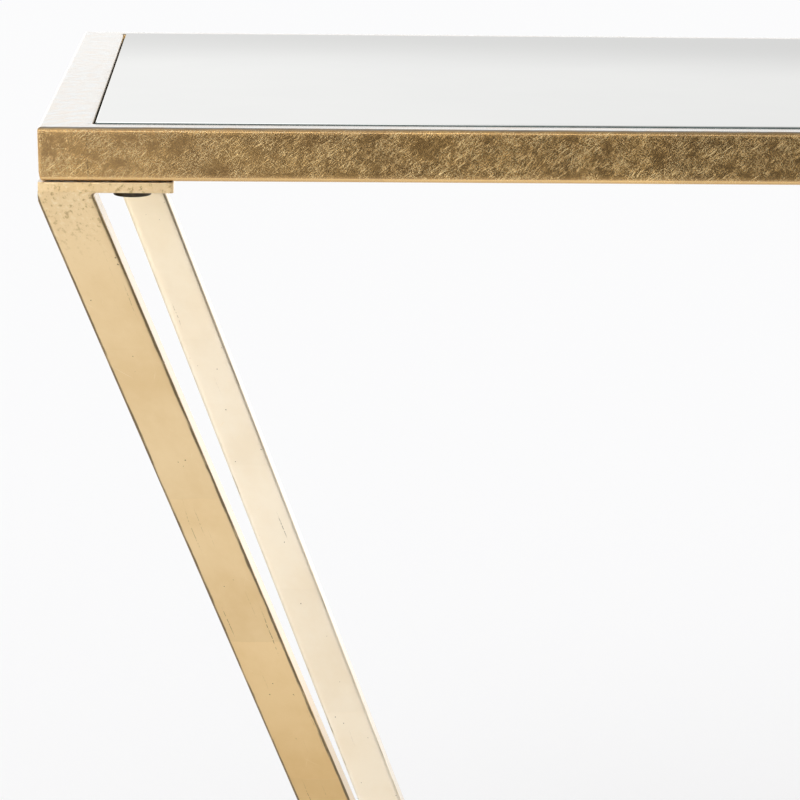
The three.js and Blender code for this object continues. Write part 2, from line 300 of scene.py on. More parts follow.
railLeaf = {
    "gold": colour(0.565, 0.338, 0.112),
    "deep": colour(0.38, 0.214, 0.07),
    "rubbed": colour(1.0, 0.79, 0.43),
    "under": colour(0.13, 0.08, 0.025),
    "arrisHighlight": colour(0.86, 0.57, 0.25),
    "arrisHighlightShare": 0.8,  # how strongly the arrises that face down are painted brighter, a painted highlight
    # the tops get a painted reflection, paler and greyer than the gold
    "paintedTopSheen": colour(0.54, 0.555, 0.545),
    "lengthTone": colour(1.0, 1.0, 1.0),  # white leaves the leaf as it is
    "age": (0.0, 1.0),  # where along the strip the leaf takes the length tone
    "patchScale": 34.0,
    "patchRange": (0.26, 0.72),
    "strokes": [(0.80, 260.0, 7600.0), (-0.72, 320.0, 7800.0), (1.05, 280.0, 6800.0), (0.62, 110.0, 3400.0)],
    "marks": 0.44,
    "fineMarks": 0.7,
    "pits": 0.25,
    "scuffs": 0.02,
    "wear": 0.16,
    "broken": 0.12,
    "rough": 0.2,
    "lacquer": 1.0,
    "lacquerRough": 0.16,
    "markRough": 0.16,
    "filed": 0.0,  # how rough the dressed weld at the strip's start is
    "filedReach": 0.03,
    "filedTone": colour(0.30, 0.18, 0.06),
    "grain": 0.03,
    "sheet": 0.138,
}
legLeaf = {
    "gold": colour(0.87, 0.665, 0.385),
    "deep": colour(0.79, 0.575, 0.30),
    "rubbed": colour(0.95, 0.79, 0.52),
    "under": colour(0.15, 0.095, 0.03),
    "arrisHighlight": colour(0.87, 0.665, 0.385),
    "arrisHighlightShare": 0.0,
    # the tops get a painted reflection, paler than the gold
    "paintedTopSheen": colour(0.93, 0.905, 0.85),
    "lengthTone": colour(0.80, 0.72, 0.56),
    "age": (0.15, 0.40),
    "patchScale": 16.0,
    "patchRange": (0.35, 0.7),
    "strokes": [(0.5, 60.0, 1800.0), (-0.9, 80.0, 2200.0)],
    "marks": 0.1,
    "fineMarks": 0.1,
    "pits": 0.5,
    "scuffs": 0.22,
    "wear": 0.26,
    "broken": 0.26,
    "rough": 0.44,
    "lacquer": 0.8,
    "lacquerRough": 0.22,
    "markRough": 0.05,
    "filed": 1.0,
    "filedReach": 0.042,
    "filedTone": colour(0.40, 0.26, 0.10),
    "grain": 0.006,
    "sheet": 0.084,
}
# the back legs get a paler copy of the leg leaf, a painted highlight for the light they catch, a little
# deeper in tone at the top
backLegHighlightLeaf = dict(
    legLeaf,
    gold=colour(0.985, 0.89, 0.73),
    deep=colour(0.94, 0.82, 0.635),
    lengthTone=colour(0.90, 0.84, 0.70),
    age=(0.20, 0.0),
    wear=0.04,
    scuffs=0.05,
)


# what every batch of leaf shares; a range is (from, to) and may end with the two values it runs between
leafDetail = {
    "upward": (0.6, 0.95),  # slopes over which a face comes to count as a top
    "topCalm": 0.8,  # how much smoother the tops are
    "strokeSeed": 3.7,
    "markedScale": 75.0,  # where the strokes gather
    "marked": (0.34, 0.6),
    "markedShare": 0.8,
    "markedLeast": 0.2,
    "markHeight": 0.02,
    "fineScale": 1900.0,
    "fine": (0.52, 0.62),
    "filedScale": 330.0,
    "filedDark": (0.53, 0.64),
    "filedDarkShare": 0.75,
    "filedBright": (0.45, 0.36),
    "filedBrightShare": 0.6,
    "filedHeight": 0.4,
    "scuffAngle": 0.015,
    "scuffAlong": 14.0,
    "scuffAcross": 950.0,
    "scuffSeed": 9.1,
    "crumbledScale": 620.0,
    "crumbled": (0.44, 0.5),
    "sheetTones": (0.93, 1.03),
    "overlapShare": 0.25,
    "overlapHeight": 0.03,
    "downward": (0.12, -0.1),  # slopes over which an arris comes to face down
    "arris": (0.25, 0.7),
    "fleckScale": 130.0,  # mottling of the painted sheen on the tops
    "flecks": (0.35, 0.65, 0.45, 1.0),
    "roughScale": 120.0,
    "roughSpread": 0.1,
    "bareRough": 0.25,
    "bareHeight": -0.06,
    "bareMetal": 0.25,
    "waveScale": 28.0,
    "waveHeight": 0.12,
}


def makeStrokes(tree, strip, look, detail):
    marks = None
    for index, (angle, along, across) in enumerate(look["strokes"]):
        inputs = {
            "Vector": strip,
            "Angle": angle,
            "Along": along,
            "Across": across,
            "Amount": look["marks"],
            "Seed": index * detail["strokeSeed"],
        }
        found = useGroup(tree, rubMarks, inputs)[0]
        marks = found if marks is None else calc(tree, "MAXIMUM", marks, found)
    return marks


def makeScuffs(tree, strip, look, detail):
    inputs = {
        "Vector": strip,
        "Angle": detail["scuffAngle"],
        "Along": detail["scuffAlong"],
        "Across": detail["scuffAcross"],
        "Amount": look["scuffs"],
        "Seed": detail["scuffSeed"],
    }
    scuffs = useGroup(tree, rubMarks, inputs)[0]
    crumbled = ease(tree, noise(tree, strip, detail["crumbledScale"], 2.0), *detail["crumbled"])
    return times(tree, scuffs, crumbled)


def makeLeaf(name, look, detail):
    material, tree, shader = newMaterial(name)
    strip = stripVector(tree)
    facing = add(tree, "TexCoord").outputs["Normal"]
    slope = add(tree, "SeparateXYZ", {0: facing}).outputs[2]
    upward = ease(tree, slope, *detail["upward"])
    worked = calc(tree, "SUBTRACT", 1.0, times(tree, upward, detail["topCalm"]))
    patch = times(tree, patchy(tree, strip, look["patchScale"], look["patchRange"]), worked)
    sheets = useGroup(tree, leafSheets, {"Vector": strip, "Sheet": look["sheet"]})

    marked = patchy(tree, strip, detail["markedScale"], detail["marked"])
    marked = calc(tree, "MULTIPLY_ADD", marked, detail["markedShare"], detail["markedLeast"])
    marked = times(tree, marked, worked)
    marks = times(tree, makeStrokes(tree, strip, look, detail), marked)
    fine = noise(tree, strip, detail["fineScale"], 3.0, 0.7)
    fineMarks = times(tree, ease(tree, fine, *detail["fine"]), look["fineMarks"])
    light = calc(tree, "MAXIMUM", marks, times(tree, fineMarks, marked))

    ends = add(tree, "SeparateXYZ", {0: strip}).outputs[0]
    filed = times(tree, ease(tree, ends, look["filedReach"], 0.0), look["filed"])
    filedGrain = noise(tree, strip, detail["filedScale"], 4.0, 0.7)
    filedMarks = times(tree, ease(tree, filedGrain, *detail["filedDark"]), filed)
    filedShine = times(tree, ease(tree, filedGrain, *detail["filedBright"]), filed)

    pits = useGroup(tree, pitting, {"Vector": strip, "Amount": look["pits"]})[0]
    edge = useGroup(tree, edgeWear, {"Vector": strip, "Width": look["wear"], "Broken": look["broken"]})
    bare = calc(tree, "MAXIMUM", pits, edge["Wear"])
    bare = calc(tree, "MAXIMUM", bare, makeScuffs(tree, strip, look, detail))

    base = mixColour(tree, patch, look["gold"], look["deep"])
    base = mixColour(tree, light, base, look["rubbed"])
    # arrises that face down get a brighter tone: a painted highlight
    downward = ease(tree, slope, *detail["downward"], 0.0, look["arrisHighlightShare"])
    paintedArrisHighlight = times(tree, ease(tree, edge["Near"], *detail["arris"]), downward)
    base = mixColour(tree, paintedArrisHighlight, base, look["arrisHighlight"])
    flecks = ease(tree, noise(tree, strip, detail["fleckScale"], 4.0, 0.65), *detail["flecks"])
    # faces that point up take a paler tone: a painted reflection of the bright studio seen at a grazing angle
    base = mixColour(tree, times(tree, upward, flecks), base, look["paintedTopSheen"])
    # the leaf is multiplied by the length tone with distance along the strip: down the front legs it grows
    # darker towards the floor, and the back legs are darker at the top
    alongLength = ease(tree, ends, *look["age"])
    base = mixColour(tree, alongLength, base, look["lengthTone"], "MULTIPLY")
    darkened = times(tree, filedMarks, detail["filedDarkShare"])
    base = mixColour(tree, darkened, base, look["filedTone"])
    brightened = times(tree, filedShine, detail["filedBrightShare"])
    base = mixColour(tree, brightened, base, look["rubbed"])
    lapped = times(tree, sheets["Overlap"], detail["overlapShare"])
    base = mixColour(tree, lapped, base, look["deep"])
    tone = ease(tree, sheets["Tone"], 0.0, 1.0, *detail["sheetTones"])
    base = mixColour(tree, 1.0, base, tone, "MULTIPLY")
    base = mixColour(tree, bare, base, look["under"])

    rough = calc(tree, "MULTIPLY_ADD", light, look["markRough"], look["rough"])
    rough = calc(tree, "SUBTRACT", rough, detail["roughSpread"] / 2)
    uneven = noise(tree, strip, detail["roughScale"], 4.0)
    rough = calc(tree, "MULTIPLY_ADD", uneven, detail["roughSpread"], rough)
    rough = calc(tree, "MULTIPLY_ADD", bare, detail["bareRough"], rough)

    wave = times(tree, noise(tree, strip, detail["waveScale"], 1.0), detail["waveHeight"])
    height = calc(tree, "MULTIPLY_ADD", fine, times(tree, worked, look["grain"]), wave)
    height = calc(tree, "MULTIPLY_ADD", marks, detail["markHeight"], height)
    height = calc(tree, "MULTIPLY_ADD", sheets["Overlap"], detail["overlapHeight"], height)
    height = calc(tree, "MULTIPLY_ADD", bare, detail["bareHeight"], height)
    filedTexture = times(tree, filedGrain, filed)
    height = calc(tree, "MULTIPLY_ADD", filedTexture, detail["filedHeight"], height)
    finishSurface(tree, shader, base, rough, height)
    tree.links.new(ease(tree, bare, 0.0, 1.0, 1.0, detail["bareMetal"]), shader.inputs["Metallic"])
    shader.inputs["Coat Weight"].default_value = look["lacquer"]
    shader.inputs["Coat Roughness"].default_value = look["lacquerRough"]
    return material


# a plain paint or plastic with its own slow tone and fine tooth
def makePlain(name, look):
    material, tree, shader = newMaterial(name)
    strip = stripVector(tree)
    patch = patchy(tree, strip, look["patchScale"])
    tooth = noise(tree, strip, look["toothScale"], 3.0, 0.6)
    base = mixColour(tree, patch, look["base"], look["second"])
    rough = calc(tree, "MULTIPLY_ADD", patch, look["roughSpread"], look["rough"])
    finishSurface(tree, shader, base, rough, times(tree, tooth, look["tooth"]))
    shader.inputs["Metallic"].default_value = look["metal"]
    return material


boardLook = {
    "base": colour(0.022, 0.019, 0.017),
    "second": colour(0.036, 0.031, 0.027),
    "patchScale": 14.0,
    "toothScale": 1400.0,
    "tooth": 0.05,
    "rough": 0.72,
    "roughSpread": 0.12,
    "metal": 0.0,
}
boltLook = {
    "base": colour(0.045, 0.038, 0.03),
    "second": colour(0.09, 0.07, 0.045),
    "patchScale": 240.0,
    "toothScale": 2600.0,
    "tooth": 0.012,
    "rough": 0.42,
    "roughSpread": 0.14,
    "metal": 0.9,
}
zincLook = {
    "base": colour(0.55, 0.56, 0.57),
    "second": colour(0.42, 0.43, 0.45),
    "patchScale": 320.0,
    "toothScale": 2400.0,
    "tooth": 0.01,
    "rough": 0.32,
    "roughSpread": 0.16,
    "metal": 1.0,
}
nylonLook = {
    "base": colour(0.016, 0.016, 0.017),
    "second": colour(0.024, 0.024, 0.025),
    "patchScale": 120.0,
    "toothScale": 3200.0,
    "tooth": 0.03,
    "rough": 0.5,
    "roughSpread": 0.12,
    "metal": 0.0,
}
bumperLook = {
    "base": colour(0.62, 0.64, 0.63),
    "second": colour(0.52, 0.55, 0.54),
    "patchScale": 200.0,
    "toothScale": 2600.0,
    "tooth": 0.01,
    "rough": 0.22,
    "roughSpread": 0.1,
    "metal": 0.0,
}
mirrorLook = {
    "silver": colour(0.90, 0.915, 0.91),
    "film": colour(0.87, 0.885, 0.885),
    "filmScale": 7.0,
    "filmRange": (0.3, 0.7),
    "dust": {"Scale": 420.0, "Size": 0.12, "Amount": 0.05},
    "rough": 0.018,
    "filmRough": 0.012,
    "dustRough": 0.25,
    "waveScale": 9.0,
    "waveHeight": 0.01,
}
glassEdgeLook = {
    "base": colour(0.08, 0.125, 0.118),
    "deep": colour(0.035, 0.065, 0.06),
    "patchScale": 60.0,
    "grind": {"Angle": 0.0, "Along": 90.0, "Across": 4000.0},
    "rough": 0.12,
    "grindRough": 0.2,
    "grindHeight": 0.006,
    "polish": 0.6,
    "polishRough": 0.05,
}


def makeSilver(look):
    material, tree, shader = newMaterial("silveredGlass")
    strip = stripVector(tree)
    film = patchy(tree, strip, look["filmScale"], look["filmRange"])
    dust = useGroup(tree, pitting, {"Vector": strip, **look["dust"]})[0]
    base = mixColour(tree, film, look["silver"], look["film"])
    rough = calc(tree, "MULTIPLY_ADD", film, look["filmRough"], look["rough"])
    rough = calc(tree, "MULTIPLY_ADD", dust, look["dustRough"], rough)
    height = times(tree, noise(tree, strip, look["waveScale"], 1.0), look["waveHeight"])
    finishSurface(tree, shader, base, rough, height)
    shader.inputs["Metallic"].default_value = 1.0
    return material


def makeGlassEdge(look):
    material, tree, shader = newMaterial("groundGlassEdge")
    strip = stripVector(tree)
    patch = patchy(tree, strip, look["patchScale"])
    grind = useGroup(tree, rubMarks, {"Vector": strip, **look["grind"]})[0]
    base = mixColour(tree, patch, look["base"], look["deep"])
    rough = calc(tree, "MULTIPLY_ADD", grind, look["grindRough"], look["rough"])
    finishSurface(tree, shader, base, rough, times(tree, grind, look["grindHeight"]))
    shader.inputs["Coat Weight"].default_value = look["polish"]
    shader.inputs["Coat Roughness"].default_value = look["polishRough"]
    return material


railGold = makeLeaf("gildedRail", railLeaf, leafDetail)
legGold = makeLeaf("gildedLeg", legLeaf, leafDetail)
backLegHighlightGold = makeLeaf("gildedBackLegHighlight", backLegHighlightLeaf, leafDetail)
boardPaint = makePlain("darkBoard", boardLook)
boltSteel = makePlain("darkBoltSteel", boltLook)
zincSteel = makePlain("zincSteel", zincLook)
nylon = makePlain("blackNylon", nylonLook)
bumperGel = makePlain("clearBumper", bumperLook)
silver = makeSilver(mirrorLook)
glassEdge = makeGlassEdge(glassEdgeLook)
print("materials made")


hardAngle = 35  # a bend above this many degrees keeps a crisp edge


# rings of (point, arris value); uvRows gives each ring's (u, [v...]) with one v more than the ring has points
# a hollow piece has its last ring joined to its first instead of two end faces, and one more uv row
def ringMesh(name, rings, uvRows, materials, pickMaterial=None, hollow=False):
    count = len(rings[0])
    points = [point for ring in rings for point, _ in ring]
    faces = []
    faceUvs = []
    for i in range(len(rings) if hollow else len(rings) - 1):
        first = i * count
        second = (i + 1) % len(rings) * count
        for j in range(count):
            k = (j + 1) % count
            faces.append((first + j, first + k, second + k, second + j))
            (u0, v0), (u1, v1) = uvRows[i], uvRows[i + 1]
            faceUvs.append([(u0, v0[j]), (u0, v0[j + 1]), (u1, v1[j + 1]), (u1, v1[j])])
    if not hollow:
        for start in (0, (len(rings) - 1) * count):
            faces.append(tuple(range(start, start + count)))
            faceUvs.append([flatUv(points[start + j]) for j in range(count)])
    mesh = bpy.data.meshes.new(name)
    mesh.from_pydata([tuple(point) for point in points], [], faces)
    strip = mesh.uv_layers.new(name="strip")
    for face, uvs in zip(mesh.polygons, faceUvs):
        for loop, uv in zip(face.loop_indices, uvs):
            strip.data[loop].uv = uv
    arris = mesh.attributes.new("arris", "FLOAT", "POINT")
    arris.data.foreach_set("value", [value for ring in rings for _, value in ring])
    for material in materials:
        mesh.materials.append(material)
    if pickMaterial:
        for face in mesh.polygons:
            face.material_index = pickMaterial(face)
    turnOutward(mesh)
    mesh.shade_smooth()
    mesh.set_sharp_from_angle(angle=math.radians(hardAngle))
    piece = bpy.data.objects.new(name, mesh)
    bpy.context.scene.collection.objects.link(piece)
    return piece


def flatUv(point):
    return (point[0], point[1])


# a closed shell whose volume comes out negative is inside out
def turnOutward(mesh):
    volume = 0.0
    for face in mesh.polygons:
        first = mesh.vertices[face.vertices[0]].co
        for a, b in zip(face.vertices[1:-1], face.vertices[2:]):
            volume += first.dot(mesh.vertices[a].co.cross(mesh.vertices[b].co))
    if volume < 0:
        mesh.flip_normals()


def seat(piece, body, node):
    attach(piece, body)
    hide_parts(node)


# one turn round a tube as (a, b, arris value): a runs in from the outer face and b runs up
# the turn starts at the top inner arris, where a seam in the leaf shows least
def tubeSection(width, height, radius, worn=(1, 1, 1, 1), steps=6, wornReach=2.2 * mm):
    section = []
    inner = width - radius
    top = height - radius
    centres = [(radius, radius), (inner, radius), (inner, top), (radius, top)]
    for quarter, (centreA, centreB) in enumerate(centres):
        start = math.pi * (1 + quarter / 2)
        for step in range(-1, steps + 2):
            part = min(max(step, 0), steps) / steps
            angle = start + part * math.pi / 2
            lead = wornReach if step > steps else -wornReach if step < 0 else 0.0
            a = centreA + radius * math.cos(angle) - lead * math.sin(angle)
            b = centreB + radius * math.sin(angle) + lead * math.cos(angle)
            value = 0.0 if lead else 0.5 + 0.5 * math.sin(math.pi * part)
            section.append((a, b, value * worn[quarter]))
    seam = len(section) // 2
    return section[seam:] + section[:seam]


# the distance round the tube at each point, for the strip
def sectionLengths(section):
    lengths = [0.0]
    closed = section + section[:1]
    for (a0, b0, _), (a1, b1, _) in zip(closed, closed[1:]):
        lengths.append(lengths[-1] + math.hypot(a1 - a0, b1 - b0))
    return lengths


# places along a tube: the given ones near both ends and even steps between
def stations(length, ends, spacing):
    between = length - 2 * ends[-1]
    count = max(2, round(between / spacing))
    inner = [ends[-1] + between * i / count for i in range(1, count)]
    return ends + inner + [length - end for end in reversed(ends)]


# the two mitred frames: under the mirror and on the floor
topFrame = {
    "corner": 2.0 * mm,  # radius of the tube's arrises
    "uprightRound": 1.3 * mm,  # the welded corner, dressed with a file
    "rubbedIn": 1.2 * mm,  # the bottom of each corner, worn in
    "rubbedHeight": 9.0 * mm,
    "rubbedX": 20.0 * mm,
    "rubbedY": 30.0 * mm,
    "rubbedCurve": 1.6,
    "worn": (0.8, 0.6, 0.3, 1.0),  # bottom outer, bottom inner, top inner, top outer arris
    "spacing": 18.0 * mm,
    "seed": 11,
}
floorFrame = dict(
    topFrame,
    uprightRound=1.6 * mm,
    rubbedIn=0.3 * mm,
    rubbedHeight=4.0 * mm,
    worn=(1.0, 0.7, 0.8, 1.0),
    seed=31,
)
mitreEnds = [distance * mm for distance in (0, 0.25, 0.5, 0.8, 1.2, 1.8, 3, 6, 12)]
# each side's outward direction and the direction it runs in
railSides = {
    "front": ((0, -1), (1, 0)),
    "back": ((0, 1), (-1, 0)),
    "left": ((-1, 0), (0, -1)),
    "right": ((1, 0), (0, 1)),
}


# rounds the welded corner and wears its lower end in
def dressCorner(x, y, z, half, low, look):
    inX = half[0] - abs(x)
    inY = half[1] - abs(y)
    rounding = look["uprightRound"]
    if inX < rounding and inY < rounding:
        offX = rounding - inX
        offY = rounding - inY
        reach = math.hypot(offX, offY)
        if reach > rounding:
            inX = rounding - offX * rounding / reach
            inY = rounding - offY * rounding / reach
    drop = max(0.0, 1 - (z - low) / look["rubbedHeight"])
    near = max(0.0, 1 - inX / look["rubbedX"]) * max(0.0, 1 - inY / look["rubbedY"])
    inX += look["rubbedIn"] * drop ** look["rubbedCurve"] * near
    return math.copysign(half[0] - inX, x), math.copysign(half[1] - inY, y)


# width is the rail's own and neighbour that of the rails it meets, which sets the mitre
def makeFrameRail(name, side, node, half, width, neighbour, look, seed, material):
    outward, along = railSides[side]
    low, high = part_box(node)
    section = tubeSection(width, high.z - low.z, look["corner"], look["worn"])
    lengths = sectionLengths(section)
    reach = half[0] if outward[0] == 0 else half[1]
    offset = half[1] if outward[0] == 0 else half[0]
    places = stations(2 * reach, mitreEnds, look["spacing"])
    shift = random.Random(seed).uniform(0, 3)
    rings = []
    rows = []
    for place in places:
        ring = []
        for a, b, value in section:
            mitre = a * neighbour / width
            ends = mitreEnds[-1]
            if place <= ends:
                s = mitre - reach + place
            elif place >= 2 * reach - ends:
                s = place - reach - mitre
            else:
                part = (place - ends) / (2 * reach - 2 * ends)
                s = (mitre - reach + ends) * (1 - part) + (reach - mitre - ends) * part
            x = outward[0] * (offset - a) + along[0] * s
            y = outward[1] * (offset - a) + along[1] * s
            z = low.z + b
            x, y = dressCorner(x, y, z, half, low.z, look)
            ring.append((Vector((x, y, z)), value))
        rings.append(ring)
        rows.append((place + shift, [v + shift for v in lengths]))
    rail = ringMesh(name, rings, rows, [material])
    seat(rail, "frame", node)


def makeTopRails(look):
    frontLow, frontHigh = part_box("front_rail")
    leftLow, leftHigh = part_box("left_rail")
    longWidth = frontHigh.y - frontLow.y
    endWidth = leftHigh.x - leftLow.x
    half = (halfLength, halfDepth)
    for index, side in enumerate(railSides):
        isLong = side in ("front", "back")
        width, neighbour = (longWidth, endWidth) if isLong else (endWidth, longWidth)
        name = side + "Rail"
        node = side + "_rail"
        makeFrameRail(name, side, node, half, width, neighbour, look, look["seed"] + index, railGold)


makeTopRails(topFrame)
print("top rails made")


def makeFloorRails(look):
    frontLow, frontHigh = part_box("floor_rail_front")
    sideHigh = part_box("floor_rail_left")[1]
    half = (frontHigh.x, sideHigh.y)
    width = frontHigh.y - frontLow.y
    for index, side in enumerate(railSides):
        name = "floorRail" + side.title()
        node = "floor_rail_" + side
        makeFrameRail(name, side, node, half, width, width, look, look["seed"] + index, legGold)


makeFloorRails(floorFrame)
print("floor rails made")


# straight tubes under the panel
ledgeShape = {"corner": 1.5 * mm, "worn": 1.5 * mm, "ends": [0.0, 1.0 * mm], "spacing": 30.0 * mm, "seed": 51}


def makeBar(name, node, shape, material, seed):
    low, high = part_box(node)
    size = high - low
    isX = size.x > size.y
    length = size.x if isX else size.y
    width = size.y if isX else size.x
    section = tubeSection(width, size.z, shape["corner"], wornReach=shape["worn"])
    lengths = sectionLengths(section)
    shift = random.Random(seed).uniform(0, 3)
    rings = []
    rows = []
    for place in stations(length, shape["ends"], shape["spacing"]):
        ring = []
        for a, b, value in section:
            x, y = (low.x + place, low.y + a) if isX else (low.x + a, low.y + place)
            ring.append((Vector((x, y, low.z + b)), value))
        rings.append(ring)
        rows.append((place + shift, [v + shift for v in lengths]))
    piece = ringMesh(name, rings, rows, [material])
    seat(piece, "frame", node)


barNodes = ["front_ledge", "back_ledge", "left_ledge", "right_ledge", "cross_bar_left", "cross_bar_right"]
for index, node in enumerate(barNodes):
    first, *others = node.split("_")
    name = first + "".join(word.title() for word in others)
    makeBar(name, node, ledgeShape, legGold, ledgeShape["seed"] + index)
print("ledges and cross bars made")


# a rectangle with rounded corners, seen from above
def planOutline(low, high, inset, radius, steps, leastBend=0.02 * mm):
    points = []
    bend = max(radius - inset, leastBend)
    centres = [
        (low.x + radius, low.y + radius, 180),
        (high.x - radius, low.y + radius, 270),
        (high.x - radius, high.y - radius, 0),
        (low.x + radius, high.y - radius, 90),
    ]
    for centreX, centreY, start in centres:
        for step in range(steps + 1):
            angle = math.radians(start + 90 * step / steps)
            points.append((centreX + bend * math.cos(angle), centreY + bend * math.sin(angle)))
    return points


# arrisRows are (inset, rise, arris value) from the underside up to the wall; the top mirrors them
def makeSlab(name, low, high, radius, arrisRows, materials, stripStart, pickMaterial=None, steps=4):
    height = high.z - low.z
    upper = [(inset, height - rise, value) for inset, rise, value in reversed(arrisRows)]
    rings = []
    rows = []
    for inset, rise, value in arrisRows + upper:
        outline = planOutline(low, high, inset, radius, steps)
        rings.append([(Vector((x, y, low.z + rise)), value) for x, y in outline])
        around = [0.0]
        closed = outline + outline[:1]
        for (x0, y0), (x1, y1) in zip(closed, closed[1:]):
            around.append(around[-1] + math.hypot(x1 - x0, y1 - y0))
        rows.append((rise - inset + stripStart[0], [v + stripStart[1] for v in around]))
    return ringMesh(name, rings, rows, materials, pickMaterial)


# a rounded arris for makeSlab
def roundedRows(radius, steps=4, reach=1.0 * mm, worn=1.0):
    rows = [(radius + reach, 0.0, 0.0)]
    for step in range(steps + 1):
        angle = math.pi / 2 * step / steps
        value = worn * (0.5 + 0.5 * math.sin(2 * angle))
        rows.append((radius - radius * math.sin(angle), radius - radius * math.cos(angle), value))
    rows.append((0.0, radius + reach, 0.0))
    return rows


mirrorShape = {
    "corner": 1.0 * mm,
    "arris": 0.45 * mm,
    "soft": 0.12 * mm,
    "reach": 2.0 * mm,
    "strip": (0.3, 0.7),
}
boardShape = {"corner": 2.0 * mm, "edge": 0.5 * mm, "strip": (0.4, 0.2)}
plateShape = {
    "corner": 1.2 * mm,
    "edge": 0.3 * mm,
    "reach": 0.6 * mm,
    "worn": 0.5,
    "strip": 0.002,  # near the strip's start, so it has the filed look
    "seed": 81,
}


def makeMirror(shape):
    low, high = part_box("mirror_glass")
    arris = shape["arris"]
    soft = shape["soft"]
    rows = [
        (arris + shape["reach"], 0.0, 0.0),
        (arris, 0.0, 0.5),
        (soft, arris - soft, 1.0),
        (0.0, arris + soft, 0.5),
        (0.0, arris + 5 * soft, 0.0),
    ]

    # the faces and their chamfers are silver, the wall between is ground glass
    def pick(face):
        return 0 if abs(face.normal.z) > 0.5 else 1

    looks = [silver, glassEdge]
    mirror = makeSlab("mirrorGlass", low, high, shape["corner"], rows, looks, shape["strip"], pick, 6)
    seat(mirror, "top_panel", "mirror_glass")


def makeBoard(shape):
    low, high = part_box("backing_board")
    rows = roundedRows(shape["edge"], 3)
    board = makeSlab("backingBoard", low, high, shape["corner"], rows, [boardPaint], shape["strip"])
    seat(board, "top_panel", "backing_board")


def makePlates(shape):
    for index, corner in enumerate(corners):
        node = "leg_plate_" + corner
        low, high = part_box(node)
        rows = roundedRows(shape["edge"], 3, shape["reach"], shape["worn"])
        start = (shape["strip"], shape["seed"] + index)
        plate = makeSlab("legPlate." + corner, low, high, shape["corner"], rows, [legGold], start)
        seat(plate, "frame", node)


makeMirror(mirrorShape)
makeBoard(boardShape)
makePlates(plateShape)
print("mirror, board and plates made")


legShape = {
    "corner": 2.2 * mm,
    "overhang": 1.7 * mm,  # ground off flush with the table's end
    "weldFillet": 2.5 * mm,
    "lap": 0.35 * mm,  # the weld runs up over the plate's edge and is filed flush
    "weldRings": (0.3 * mm, 0.8 * mm, 1.5 * mm, 2.5 * mm, 4.3 * mm),
    "weldEnd": 6 * mm,
    "spacing": 12.0 * mm,
    "seed": 91,
}


def makeLeg(corner, shape, seed):
    node = "leg_" + corner
    signX, signY = corners[corner]
    low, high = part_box(node)
    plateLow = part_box("leg_plate_" + corner)[0]
    floorLow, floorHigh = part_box("floor_rail_front")
    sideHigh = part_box("floor_rail_left")[1]
    drop = high.z - low.z
    leanX = (halfLength + shape["overhang"] - floorHigh.x) / drop
    leanY = (halfDepth - sideHigh.y) / drop
    tube = floorHigh.y - floorLow.y
    width = tube * math.hypot(1, leanX)
    depth = tube * math.hypot(1, leanY)
    section = tubeSection(width, depth, shape["corner"])
    lengths = sectionLengths(section)
    slant = math.hypot(1, leanX, leanY)
    fillet = shape["weldFillet"]
    lap = shape["lap"]
    starts = [0.0, lap] + [fall + lap for fall in shape["weldRings"]] + [shape["weldEnd"]]
    down = [fall - lap for fall in stations(plateLow.z - low.z + lap, starts, shape["spacing"])]
    rings = []
    rows = []
    for fall in down:
        below = fall - (plateLow.z - high.z)
        outerX = halfLength + shape["overhang"] - leanX * below
        outerY = halfDepth - leanY * below
        near = min(fillet, max(0.0, fillet - fall))
        swell = fillet - math.sqrt(fillet * fillet - near * near)
        ring = []
        for a, b, value in section:
            x = min(outerX - a - swell * a / width, halfLength)
            y = min(outerY - b - swell * b / depth, halfDepth)
            ring.append((Vector((signX * x, signY * y, plateLow.z - fall)), value))
        rings.append(ring)
        rows.append((fall * slant, [v + seed for v in lengths]))
    # the back legs use the paler copy of the leaf, a painted highlight
    leg = ringMesh("leg." + corner, rings, rows, [legGold if signY < 0 else backLegHighlightGold])
    seat(leg, "frame", node)


for index, corner in enumerate(corners):
    makeLeg(corner, legShape, legShape["seed"] + index)
print("legs made")


# rows of (height, radius or a function of angle, arris value)
def makeTurned(name, centre, rows, material, seed, sides=40, hollow=False):
    shift = random.Random(seed).uniform(0, 3)
    rings = []
    uvRows = []
    run = 0.0
    last = None
    for height, radius, value in rows:
        ring = []
        size = 0.0
        for side in range(sides):
            angle = 2 * math.pi * side / sides
            reach = radius(angle) if callable(radius) else radius
            size = max(size, reach)
            x = centre[0] + reach * math.cos(angle)
            y = centre[1] + reach * math.sin(angle)
            ring.append((Vector((x, y, height)), value))
        rings.append(ring)
        if last:
            run += math.hypot(height - last[0], size - last[1])
        last = (height, size)
        uvRows.append((run + shift, [shift + 2 * math.pi * size * side / sides for side in range(sides + 1)]))
    if hollow:
        uvRows.append((run + shift + mm, uvRows[0][1]))
    return ringMesh(name, rings, uvRows, [material], hollow=hollow)


# a rounded rim for makeTurned
def roundedEdge(height, radius, edge, upward, steps=4):
    rows = []
    for step in range(steps + 1):
        angle = math.pi / 2 * step / steps
        inset = edge - edge * math.sin(angle)
        rise = edge - edge * math.cos(angle)
        level = height + rise if upward else height - rise
        rows.append((level, radius - inset, 0.5 + 0.5 * math.sin(2 * angle)))
    return rows if upward else rows[::-1]


# the outline of a threaded shank cut at one height
def thread(radius, depth, pitch, height):
    def reach(angle):
        phase = (height / pitch - angle / (2 * math.pi)) % 1.0
        return radius - depth * abs(2 * phase - 1)
    return reach


# the outline of a hex socket
def hexagon(acrossFlats):
    def reach(angle):
        nearest = (angle + math.pi / 6) % (math.pi / 3) - math.pi / 6
        return acrossFlats / 2 / math.cos(nearest)
    return reach


